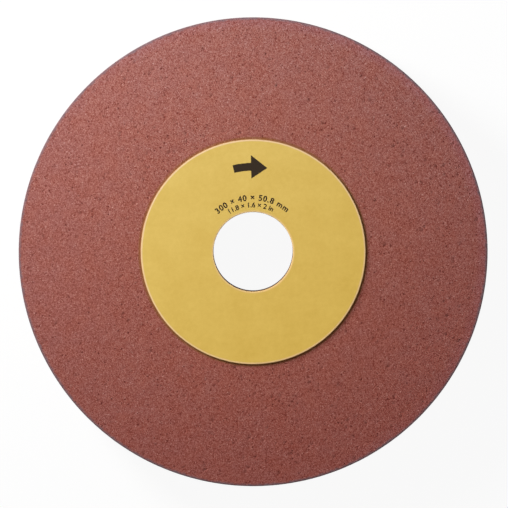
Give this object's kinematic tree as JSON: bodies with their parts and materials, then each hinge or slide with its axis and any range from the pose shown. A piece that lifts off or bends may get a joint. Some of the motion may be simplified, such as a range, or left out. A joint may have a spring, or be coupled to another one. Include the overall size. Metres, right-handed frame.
{
  "type": "grinding wheel",
  "caption": "Straight vitrified grinding wheel with a plain bore and a round paper blotter glued to each face.",
  "frame": {"origin": "on the bore's axis, in the outer face of the rear blotter, on which the wheel lies", "axes": "+Z along the bore's axis and out of the printed front face; +Y towards the top of the print on the front blotter; +X to the reader's right"},
  "size_m": [0.3, 0.3, 0.0416],
  "materials": {
    "bonded_abrasive": "matte, open sandy grain, terracotta pink",
    "blotter_paper": "matte smooth paper, yellow ochre"
  },
  "bodies": {
    "root": {"abrasive_wheel": "bonded_abrasive", "front_blotter": "blotter_paper", "rear_blotter": "blotter_paper"}
  },
  "joints": []
}
